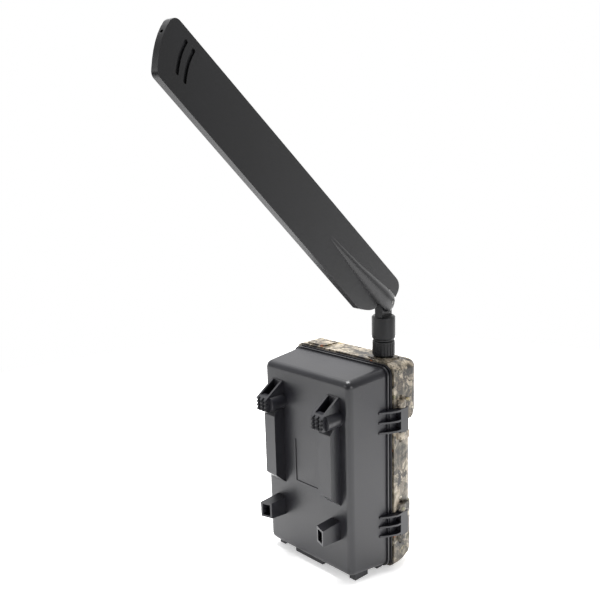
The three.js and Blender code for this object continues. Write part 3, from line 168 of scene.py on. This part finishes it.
def satin_nylon(name, colour, lighter, roughness, gloss=0.5):
    """Glass-filled nylon moulded in a vapour-blasted tool: nearly smooth, with a soft sheen."""
    cloud_mm = 40
    grain_mm, grain_depth_mm, grain_strength = 0.6, 0.02, 0.4
    material, tree, shader = start_finish(name, IOR=1.53, Roughness=roughness, Specular_IOR_Level=gloss)
    broad = add(tree, "TexNoise", {"Vector": object_place(tree), "Scale": 1 / cloud_mm, "Detail": 3.0})
    tone = add(tree, "ValToRGB", {"Fac": broad.outputs["Fac"]}, stops=[
        (0.3, paint(colour)), (0.7, paint(lighter)),
    ])
    tree.links.new(tone.outputs["Color"], shader.inputs["Base Color"])
    grain(tree, shader, grain_mm, grain_depth_mm, grain_strength)
    return material


def leaf_layer(tree, under, stretch, scale_mm, turn, width, colours, share):
    """Leaves of one direction over what is already printed, each with its own colour and a dark edge."""
    place = object_place(tree, turn=turn)
    ragged = add(tree, "TexNoise", {
        "Vector": place, "Scale": 2.2 / scale_mm, "Detail": 4.0, "Roughness": 0.65,
    })
    shift = add(tree, "VectorMath", {0: ragged.outputs["Color"], "Scale": 0.5 * scale_mm}, operation="SCALE")
    moved = add(tree, "VectorMath", {0: place, 1: shift.outputs[0]}, operation="ADD")
    long = add(tree, "Mapping", {"Vector": moved.outputs[0], "Scale": stretch})
    cells = add(tree, "TexVoronoi", {"Vector": long.outputs["Vector"], "Scale": 1 / scale_mm}, feature="F1")
    leaf = add(tree, "ValToRGB", {"Fac": cells.outputs["Distance"]}, stops=[
        (0.0, WHITE), (width, WHITE), (width + 0.03, BLACK),
    ])
    edge = add(tree, "ValToRGB", {"Fac": cells.outputs["Distance"]}, stops=[
        (0.0, BLACK), (0.72 * width, BLACK), (width, WHITE),
    ])
    pick = add(tree, "SeparateColor", {"Color": cells.outputs["Color"]})
    step = 1 / len(colours)
    body = add(tree, "ValToRGB", {"Fac": pick.outputs[0]}, between="CONSTANT", stops=[
        (i * step, paint(colour)) for i, colour in enumerate(colours)
    ])
    vein = add(tree, "TexNoise", {
        "Vector": object_place(tree, turn=turn, scale=(0.35, 0.35, 1.6)),
        "Scale": 1.1, "Detail": 6.0, "Roughness": 0.7,
    })
    veins = add(tree, "ValToRGB", {"Fac": vein.outputs["Fac"]}, stops=[
        (0.36, paint("#6d675c")), (0.56, paint("#ffffff")),
    ])
    veined = add(tree, "Mix", {SHARE: 0.85, UNDER: body.outputs["Color"], OVER: veins.outputs["Color"]},
                 **DARKEN)
    edged = add(tree, "Mix", {
        SHARE: edge.outputs["Color"], UNDER: veined.outputs[MIXED], OVER: paint("#2c2822"),
    }, **COLOURS)
    shown = add(tree, "ValToRGB", {"Fac": pick.outputs[1]}, between="CONSTANT", stops=[
        (0.0, BLACK), (1 - share, WHITE),
    ])
    cover = add(tree, "Mix", {SHARE: 1.0, UNDER: leaf.outputs["Color"], OVER: shown.outputs["Color"]},
                **DARKEN)
    return add(tree, "Mix", {
        SHARE: cover.outputs[MIXED], UNDER: under, OVER: edged.outputs[MIXED],
    }, **COLOURS).outputs[MIXED]


def hydrographic_camouflage():
    """ABS with a bark-and-leaf film print under satin lacquer: sharp print edges on a soft sheen."""
    drift_mm, ridge_mm, branch_mm, shade_mm = 17, 2.6, 44, 13
    grain_mm, grain_depth_mm, grain_strength = 0.8, 0.02, 0.3
    material, tree, shader = start_finish("hydrographic_camouflage", IOR=1.5, Roughness=0.46)
    drift = add(tree, "TexNoise", {
        "Vector": object_place(tree), "Scale": 1 / drift_mm, "Detail": 8.0, "Roughness": 0.64,
        "Distortion": 1.1,
    })
    ground = add(tree, "ValToRGB", {"Fac": drift.outputs["Fac"]}, stops=[
        (0.36, paint("#36322a")), (0.43, paint("#5c574b")), (0.48, paint("#857c6f")),
        (0.55, paint("#aca291")), (0.62, paint("#787060")), (0.68, paint("#57524a")),
    ])
    # Bark: ridges a millimetre or two apart, running up the trunk.
    bark = add(tree, "TexNoise", {
        "Vector": object_place(tree, scale=(1, 1, 0.2), turn=(0.1, 0.25, 0)),
        "Scale": 1 / ridge_mm, "Detail": 7.0, "Roughness": 0.66,
    })
    ridges = add(tree, "ValToRGB", {"Fac": bark.outputs["Fac"]}, stops=[
        (0.38, paint("#3c362d")), (0.47, paint("#a1967f")), (0.56, paint("#ffffff")),
    ])
    film = add(tree, "Mix", {
        SHARE: 0.5, UNDER: ground.outputs["Color"], OVER: ridges.outputs["Color"],
    }, **DARKEN).outputs[MIXED]
    film = leaf_layer(tree, film, (1, 1, 0.45), 9.5, (0.5, 0.3, 0.2), 0.4,
                      ["#57543f", "#7f7558", "#a59a84", "#45413a", "#988a62"], 0.45)
    # Branches: dark wandering bands a few millimetres wide.
    branch = add(tree, "TexWave", {
        "Vector": object_place(tree, turn=(0.5, 0.35, 0.4)), "Scale": 1 / branch_mm, "Distortion": 14.0,
        "Detail": 4.0, "Detail Scale": 1.8, "Detail Roughness": 0.6,
    }, wave_type="BANDS", bands_direction="X")
    band = add(tree, "ValToRGB", {"Fac": branch.outputs["Fac"]}, stops=[(0.84, BLACK), (0.88, WHITE)])
    wood = add(tree, "ValToRGB", {"Fac": bark.outputs["Fac"]}, stops=[
        (0.4, paint("#1d1a16")), (0.62, paint("#6f6453")),
    ])
    film = add(tree, "Mix", {
        SHARE: band.outputs["Color"], UNDER: film, OVER: wood.outputs["Color"],
    }, **COLOURS).outputs[MIXED]
    film = leaf_layer(tree, film, (1, 1, 0.5), 7.0, (-0.9, 0.6, 1.1), 0.36,
                      ["#a39162", "#65614a", "#b9b09d", "#51473a", "#857d6c"], 0.38)
    # Deep shade between the leaves: ragged near-black patches.
    shade = add(tree, "TexNoise", {
        "Vector": object_place(tree, turn=(0.3, 0.9, 0.1)), "Scale": 1 / shade_mm,
        "Detail": 9.0, "Roughness": 0.78, "Distortion": 0.6,
    })
    hollow = add(tree, "ValToRGB", {"Fac": shade.outputs["Fac"]}, stops=[(0.53, BLACK), (0.57, WHITE)])
    film = add(tree, "Mix", {
        SHARE: hollow.outputs["Color"], UNDER: film, OVER: paint("#211e1b"),
    }, **COLOURS).outputs[MIXED]
    film = leaf_layer(tree, film, (1, 1, 0.55), 4.8, (1.3, -0.4, 0.5), 0.3,
                      ["#b5a77f", "#8f5735", "#7d7a5b", "#c2baa8", "#a89868"], 0.24)
    tree.links.new(film, shader.inputs["Base Color"])
    grain(tree, shader, grain_mm, grain_depth_mm, grain_strength)
    return material


def moulded_rubber():
    """Silicone rubber pressed in a matt tool: soft, dusty and dull."""
    dust_mm = 6
    grain_mm, grain_depth_mm, grain_strength = 0.3, 0.02, 0.3
    material, tree, shader = start_finish("moulded_silicone_rubber", IOR=1.41, Roughness=0.75)
    dust = add(tree, "TexNoise", {"Vector": object_place(tree), "Scale": 1 / dust_mm, "Detail": 6.0})
    tone = add(tree, "ValToRGB", {"Fac": dust.outputs["Fac"]}, stops=[
        (0.3, paint("#19191b")), (0.75, paint("#2b2b2d")),
    ])
    tree.links.new(tone.outputs["Color"], shader.inputs["Base Color"])
    grain(tree, shader, grain_mm, grain_depth_mm, grain_strength)
    return material


def rolled_metal(name, colour, lighter, roughness):
    """Sheet or bar metal, plated: fine lines left by the rolls or the lathe."""
    line_mm, line_depth_mm, along = 1.5, 0.02, (1, 1, 12)
    material, tree, shader = start_finish(name, Metallic=1.0, Roughness=roughness)
    lines = add(tree, "TexNoise", {
        "Vector": object_place(tree, scale=along), "Scale": 1 / line_mm, "Detail": 4.0,
    })
    tone = add(tree, "ValToRGB", {"Fac": lines.outputs["Fac"]}, stops=[
        (0.3, paint(colour)), (0.7, paint(lighter)),
    ])
    tree.links.new(tone.outputs["Color"], shader.inputs["Base Color"])
    dull = add(tree, "ValToRGB", {"Fac": lines.outputs["Fac"]}, stops=[
        (0.3, grey(roughness - 0.06)), (0.7, grey(roughness + 0.08)),
    ])
    tree.links.new(dull.outputs["Color"], shader.inputs["Roughness"])
    bump = add(tree, "Bump", {
        "Height": lines.outputs["Fac"], "Strength": 0.15, "Distance": line_depth_mm * MM,
    })
    tree.links.new(bump.outputs["Normal"], shader.inputs["Normal"])
    return material


def solder_mask():
    """Green solder mask over copper: glossy, with the tracks showing as paler lines."""
    track_depth_mm = 0.05
    material, tree, shader = start_finish("glass_epoxy_solder_mask", IOR=1.55, Roughness=0.3)
    tracks = add(tree, "TexBrick", {
        "Vector": object_place(tree, turn=(math.pi / 2, 0, 0)), "Color1": paint("#0f4a2b"),
        "Color2": paint("#12563a"), "Mortar": paint("#2b7d54"), "Scale": 0.28, "Mortar Size": 0.03,
        "Brick Width": 1.7, "Row Height": 0.6,
    })
    tree.links.new(tracks.outputs["Color"], shader.inputs["Base Color"])
    bump = add(tree, "Bump", {
        "Height": tracks.outputs["Fac"], "Strength": 0.3, "Distance": track_depth_mm * MM,
    })
    tree.links.new(bump.outputs["Normal"], shader.inputs["Normal"])
    return material


def infrared_acrylic():
    """Infrared-passing acrylic, polished: nearly black, with a deep red cast and sharp reflections."""
    haze_mm = 30
    material, tree, shader = start_finish("infrared_acrylic", IOR=1.49, Roughness=0.06, Coat_Weight=0.4)
    haze = add(tree, "TexNoise", {"Vector": object_place(tree), "Scale": 1 / haze_mm, "Detail": 2.0})
    tone = add(tree, "ValToRGB", {"Fac": haze.outputs["Fac"]}, stops=[
        (0.3, paint("#12080c")), (0.7, paint("#1b0c11")),
    ])
    tree.links.new(tone.outputs["Color"], shader.inputs["Base Color"])
    return material


def clear_acrylic():
    """Cast acrylic, polished: clear, with sharp reflections."""
    smear_mm = 9
    material, tree, shader = start_finish("clear_acrylic", IOR=1.49, Roughness=0.03,
                                           Transmission_Weight=1.0)
    smear = add(tree, "TexNoise", {"Vector": object_place(tree), "Scale": 1 / smear_mm, "Detail": 4.0})
    tone = add(tree, "ValToRGB", {"Fac": smear.outputs["Fac"]}, stops=[
        (0.3, paint("#e9eef0")), (0.7, paint("#ffffff")),
    ])
    tree.links.new(tone.outputs["Color"], shader.inputs["Base Color"])
    wipe = add(tree, "ValToRGB", {"Fac": smear.outputs["Fac"]}, stops=[(0.3, grey(0.02)), (0.8, grey(0.07))])
    tree.links.new(wipe.outputs["Color"], shader.inputs["Roughness"])
    return material


def milky_polyethylene():
    """High-density polyethylene, moulded with a fine lens pattern: milky, waxy and slightly see-through."""
    facet_mm, facet_depth_mm = 3.4, 0.5
    material, tree, shader = start_finish(
        "milky_polyethylene", IOR=1.54, Roughness=0.4, Subsurface_Weight=0.25,
        Subsurface_Radius=(2 * MM, 2 * MM, 2 * MM))
    facets = add(tree, "TexVoronoi", {
        "Vector": object_place(tree, scale=(1, 0.001, 1)), "Scale": 1 / facet_mm, "Randomness": 0.15,
    }, feature="DISTANCE_TO_EDGE")
    # Painted shade: the tone is darker along the facet edges, in the grooves between the lens facets.
    tone = add(tree, "ValToRGB", {"Fac": facets.outputs["Distance"]}, stops=[
        (0.0, paint("#8d8e8b")), (0.12, paint("#b4b5b1")),
    ])
    tree.links.new(tone.outputs["Color"], shader.inputs["Base Color"])
    bump = add(tree, "Bump", {
        "Height": facets.outputs["Distance"], "Strength": 0.5, "Distance": facet_depth_mm * MM,
    })
    tree.links.new(bump.outputs["Normal"], shader.inputs["Normal"])
    return material


def liquid_crystal():
    """A liquid-crystal panel that is switched off: dark grey glass with a fine grid of cells."""
    material, tree, shader = start_finish("liquid_crystal_panel", IOR=1.5, Roughness=0.12)
    cells = add(tree, "TexBrick", {
        "Vector": object_place(tree, turn=(math.pi / 2, 0, 0)), "Color1": paint("#23292e"),
        "Color2": paint("#262c31"), "Mortar": paint("#15191c"), "Scale": 1.0, "Mortar Size": 0.08,
        "Brick Width": 0.6, "Row Height": 0.6,
    })
    tree.links.new(cells.outputs["Color"], shader.inputs["Base Color"])
    return material


def cell_sleeve():
    """An alkaline cell's shrink sleeve: glossy film, dark blue, then pale, then copper, with bare ends."""
    scuff_mm = 4
    material, tree, shader = start_finish("shrink_sleeve_film", IOR=1.5, Roughness=0.25, Coat_Weight=0.5)
    place = add(tree, "TexCoord")
    parts = add(tree, "SeparateXYZ", {"Vector": place.outputs["Generated"]})
    bands = add(tree, "ValToRGB", {"Fac": parts.outputs["Z"]}, between="CONSTANT", stops=[
        (0.0, paint("#b9bcc0")), (0.02, paint("#1d3a5c")), (0.72, paint("#c9ccd0")),
        (0.75, paint("#a9742e")), (0.965, paint("#b9bcc0")),
    ])
    scuff = add(tree, "TexNoise", {"Vector": object_place(tree), "Scale": 1 / scuff_mm, "Detail": 6.0})
    marks = add(tree, "ValToRGB", {"Fac": scuff.outputs["Fac"]}, stops=[
        (0.4, paint("#ffffff")), (0.75, paint("#cfcfcf")),
    ])
    base = add(tree, "Mix", {SHARE: 0.5, UNDER: bands.outputs["Color"], OVER: marks.outputs["Color"]},
               **DARKEN)
    tree.links.new(base.outputs[MIXED], shader.inputs["Base Color"])
    return material


FINISH = {
    "shell_black": spark_eroded_abs(),
    "shell_camouflage": hydrographic_camouflage(),
    "plastic_black": satin_nylon("vapour_blasted_black_nylon", "#121214", "#18181b", 0.42),
    "antenna_plastic": satin_nylon("moulded_black_antenna_nylon", "#09090b", "#0e0e11", 0.38, 0.32),
    "rubber": moulded_rubber(),
    "steel": rolled_metal("nickel_plated_steel", "#9a9996", "#b9b8b5", 0.3),
    "brass": rolled_metal("turned_brass", "#b8934a", "#d8b66e", 0.25),
    "circuit": solder_mask(),
    "dark_window": infrared_acrylic(),
    "clear": clear_acrylic(),
    "milky": milky_polyethylene(),
    "screen": liquid_crystal(),
    "cell": cell_sleeve(),
    "card": satin_nylon("moulded_card_nylon", "#17191d", "#1e2126", 0.45),
}
slot_of = {s["node"]: s["material_slot"] for s in frame["record"]["subparts"]}


# ---- pieces from the frame -----------------------------------------------------------------------

WELD = 0.001 * MM  # corners nearer than this are one corner
FLAT_DEG = 0.4  # facets within this angle of each other are one face
SMOOTH_DEG = {"frame": 32, "built_here": 35}  # an edge sharper than this stays an edge
ROUNDING_STEPS = 2
FACE_WEIGHT = 80
EDGE_MM = {"rear_shell": 0.35, "front_shell": 0.4, "inner_panel": 0.3, "battery_tray": 0.3}
USUAL_EDGE_MM = 0.2


def dress(piece, slot):
    """Gives a piece the finish of its slot."""
    piece.data.materials.clear()
    piece.data.materials.append(FINISH[slot])


def settle(piece):
    """Applies the piece's modifiers."""
    bpy.context.view_layer.update()
    view = bpy.context.evaluated_depsgraph_get()
    made = bpy.data.meshes.new_from_object(piece.evaluated_get(view))
    piece.modifiers.clear()
    piece.data = made


def finished(node, edge_mm):
    """A copy of a frame piece with its flat faces whole, its edges rounded and its curves smooth."""
    source = nodes[node]
    mesh = source.data.copy()
    mesh.name = node + "_finished"
    shape = bmesh.new()
    shape.from_mesh(mesh)
    bmesh.ops.remove_doubles(shape, verts=shape.verts, dist=WELD)
    bmesh.ops.dissolve_limit(shape, angle_limit=math.radians(FLAT_DEG), verts=shape.verts,
                             edges=shape.edges)
    shape.to_mesh(mesh)
    shape.free()
    mesh.materials.clear()
    piece = bpy.data.objects.new(node + "_finished", mesh)
    bpy.context.scene.collection.objects.link(piece)
    dress(piece, slot_of[node])
    mesh.shade_smooth()
    mesh.set_sharp_from_angle(angle=math.radians(SMOOTH_DEG["frame"]))
    rounding = piece.modifiers.new("edge", "BEVEL")
    rounding.width = edge_mm * MM
    rounding.segments = ROUNDING_STEPS
    rounding.limit_method = "ANGLE"
    rounding.angle_limit = math.radians(SMOOTH_DEG["frame"])
    rounding.harden_normals = True
    weigh = piece.modifiers.new("flat_faces", "WEIGHTED_NORMAL")
    weigh.keep_sharp = True
    weigh.weight = FACE_WEIGHT
    settle(piece)
    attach(piece, source["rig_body"])
    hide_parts(node)


OUTSIDE = [
    "rear_shell", "front_shell", "latch_upper", "latch_lower", "inner_panel", "battery_tray", "lens_bezel",
    "led_window", "motion_lens", "antenna_nut", "antenna_base", "antenna_blade", "antenna_pin", "jack_plug",
    "tripod_insert", "hinge_pin_upper", "hinge_pin_lower", "lens_window", "case_seal",
]
for name in OUTSIDE:
    finished(name, EDGE_MM.get(name, USUAL_EDGE_MM))
for name in nodes:
    if name not in OUTSIDE:
        dress(nodes[name], slot_of[name])


# ---- pieces built here ---------------------------------------------------------------------------

STRIP_PLATE = 0.5 * MM
CELLS_IN_ROW = 4
WIRE = {"radius": 0.35 * MM, "coil": 3.4 * MM, "turns": 3, "steps": 14, "sides": 6, "taper": 0.45}
LAMPS = {"columns": 7, "rows": 3, "pitch": 7 * MM, "radius": 2.1 * MM, "around": 16, "up": 8,
         "flattened": 0.8}


def new_piece(name, shape, body, slot):
    """A mesh built here, riding on a body."""
    mesh = bpy.data.meshes.new(name)
    shape.to_mesh(mesh)
    shape.free()
    mesh.shade_smooth()
    mesh.set_sharp_from_angle(angle=math.radians(SMOOTH_DEG["built_here"]))
    piece = bpy.data.objects.new(name, mesh)
    bpy.context.scene.collection.objects.link(piece)
    dress(piece, slot)
    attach(piece, body)


def middle(box):
    """The centre of a box given by its two corners."""
    return Vector([(low + high) / 2 for low, high in zip(*box)])


def wound_wire(shape, base, rise):
    """A cone of wire wound about an upright axis from `base`, going `rise` up or down."""
    steps, sides = WIRE["steps"] * WIRE["turns"], WIRE["sides"]
    rings = []
    for i in range(steps + 1):
        share = i / steps
        around = 2 * math.pi * WIRE["turns"] * share
        wide = WIRE["coil"] * (1 - WIRE["taper"] * share)
        centre = base + Vector((wide * math.cos(around), wide * math.sin(around), rise * share))
        out = Vector((math.cos(around), math.sin(around), 0))
        ring = []
        for k in range(sides):
            turn = 2 * math.pi * k / sides
            offset = out * math.cos(turn) + Vector((0, 0, 1)) * math.sin(turn)
            ring.append(shape.verts.new(centre + WIRE["radius"] * offset))
        rings.append(ring)
    for one, two in zip(rings, rings[1:]):
        for k in range(sides):
            after = (k + 1) % sides
            shape.faces.new((one[k], two[k], two[after], one[after]))
    shape.faces.new(rings[0][::-1])
    shape.faces.new(rings[-1])
    bmesh.ops.recalc_face_normals(shape, faces=shape.faces)


def contact_springs(row, end):
    """Coil springs on one contact strip, each from the strip's plate to the flat end of a cell."""
    strip = f"contacts_{row}_{end}"
    low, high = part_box(strip)
    towards = 1 if end == "bottom" else -1
    plate = low[2] + STRIP_PLATE if towards > 0 else high[2] - STRIP_PLATE
    shape = bmesh.new()
    for column in range(1, CELLS_IN_ROW + 1):
        cell_low, cell_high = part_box(f"battery_{row}_{column}")
        face = cell_low[2] if towards > 0 else cell_high[2]
        at = middle((cell_low, cell_high))
        wound_wire(shape, Vector((at.x, at.y, plate)), face - plate - towards * 2 * WIRE["radius"])
    new_piece(f"springs_{row}_{end}", shape, "rear_case", slot_of[strip])


def led_domes():
    """A domed lens on each infrared lamp, on the lamp board."""
    low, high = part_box("led_board")
    centre = middle((low, high))
    shape = bmesh.new()
    for column in range(LAMPS["columns"]):
        for row in range(LAMPS["rows"]):
            x = centre.x + (column - (LAMPS["columns"] - 1) / 2) * LAMPS["pitch"]
            z = centre.z + (row - (LAMPS["rows"] - 1) / 2) * LAMPS["pitch"]
            dome = bmesh.ops.create_uvsphere(shape, u_segments=LAMPS["around"], v_segments=LAMPS["up"],
                                             radius=LAMPS["radius"])
            for vert in dome["verts"]:
                vert.co = Vector((x + vert.co.x, low[1] + vert.co.y * LAMPS["flattened"], z + vert.co.z))
    new_piece("lamp_domes", shape, "front_cover", slot_of["lens_glass"])


for row in ("lower", "upper"):
    for end in ("bottom", "top"):
        contact_springs(row, end)
led_domes()


# ---- floor, light and camera ---------------------------------------------------------------------

FLOOR = {"radius": 0.6, "sides": 96, "glow": 0.4, "fibre_mm": 60}
SKY = {
    "bright_side": (0.72, -0.64, 0.26),
    "levels": [(0.0, 0.2), (0.4, 0.33), (0.65, 0.65), (0.85, 1.3)],
}
# Name, place, aim, size across and power of each studio lamp.
STUDIO_LAMPS = [
    ("top", (0.15, -0.1, 1.2), (0, 0, 0.1), 0.7, 26),
    ("left_of_camera", (0.3, 1.1, 0.55), (0, 0, 0.08), 0.5, 3),
    ("right_of_camera", (-1.1, 0.05, 0.35), (0, 0, 0.05), 0.5, 4),
]
CAMERA = {
    "eye": (-0.3533, 0.3585, 0.2839), "heading": 231.24, "height": 12.95, "roll": -2.68,
    "lens": 48.0, "sensor": 36, "shift": (0.1088, 0.0297), "near": 0.01,
}


def table_top():
    """A white table top, bright all over."""
    mesh = bpy.data.meshes.new("floor")
    shape = bmesh.new()
    bmesh.ops.create_circle(shape, cap_ends=True, segments=FLOOR["sides"], radius=FLOOR["radius"])
    shape.to_mesh(mesh)
    shape.free()
    floor = bpy.data.objects.new("floor", mesh)
    bpy.context.scene.collection.objects.link(floor)
    material, tree, shader = start_finish("pale_paper_sweep", Roughness=0.7, IOR=1.45,
                                           Emission_Color=(1, 1, 1, 1), Emission_Strength=FLOOR["glow"])
    fibre = add(tree, "TexNoise", {
        "Vector": object_place(tree), "Scale": 1 / FLOOR["fibre_mm"], "Detail": 2.0,
    })
    tone = add(tree, "ValToRGB", {"Fac": fibre.outputs["Fac"]}, stops=[
        (0.3, paint("#fbfbfb")), (0.7, paint("#ffffff")),
    ])
    tree.links.new(tone.outputs["Color"], shader.inputs["Base Color"])
    mesh.materials.append(material)


def sky():
    """A white studio: one fixed side of it is the brightest, and the side across from that is dim."""
    world = bpy.data.worlds.new("studio_air")
    bpy.context.scene.world = world
    world.use_nodes = True
    tree = world.node_tree
    back = tree.nodes["Background"]
    place = add(tree, "TexCoord")
    towards = add(tree, "VectorMath", {0: place.outputs["Generated"], 1: SKY["bright_side"]},
                  operation="DOT_PRODUCT")
    share = add(tree, "MapRange", {
        "Value": towards.outputs["Value"], "From Min": -1.0, "From Max": 1.0, "To Min": 0.0, "To Max": 1.0,
    })
    level = add(tree, "ValToRGB", {"Fac": share.outputs["Result"]}, stops=[
        (at, grey(value)) for at, value in SKY["levels"]
    ])
    # The backdrop itself shows plain white; the levels above only light the object.
    seen = add(tree, "LightPath")
    shown = add(tree, "Mix", {
        SHARE: seen.outputs["Is Camera Ray"], UNDER: level.outputs["Color"], OVER: WHITE,
    }, **COLOURS)
    tree.links.new(shown.outputs[MIXED], back.inputs["Color"])
    back.inputs["Strength"].default_value = 1.0


def lamp(name, place, aim, size, power):
    """A round soft lamp at a place, turned to its aim."""
    light = bpy.data.lights.new(name, "AREA")
    light.shape = "DISK"
    light.size = size
    light.energy = power
    holder = bpy.data.objects.new(name, light)
    holder.location = place
    holder.rotation_euler = (Vector(aim) - Vector(place)).to_track_quat("-Z", "Y").to_euler()
    bpy.context.scene.collection.objects.link(holder)


def take_view():
    """The camera, set by its heading and height as seen from the object."""
    turn, rise, roll = (math.radians(CAMERA[k]) for k in ("heading", "height", "roll"))
    back = Vector((math.sin(turn) * math.cos(rise), -math.cos(turn) * math.cos(rise), math.sin(rise)))
    right = (-back).cross(Vector((0, 0, 1))).normalized()
    up = back.cross(right)
    side = right * math.cos(roll) + up * math.sin(roll)
    top = up * math.cos(roll) - right * math.sin(roll)
    data = bpy.data.cameras.new("camera")
    data.sensor_width = CAMERA["sensor"]
    data.lens = CAMERA["lens"]
    data.shift_x, data.shift_y = CAMERA["shift"]
    data.clip_start = CAMERA["near"]
    camera = bpy.data.objects.new("camera", data)
    turned = Matrix((side, top, back)).transposed().to_4x4()
    camera.matrix_world = Matrix.Translation(CAMERA["eye"]) @ turned
    bpy.context.scene.collection.objects.link(camera)
    bpy.context.scene.camera = camera


table_top()
sky()
for settings in STUDIO_LAMPS:
    lamp(*settings)
take_view()
bpy.context.scene.view_settings.view_transform = "Standard"
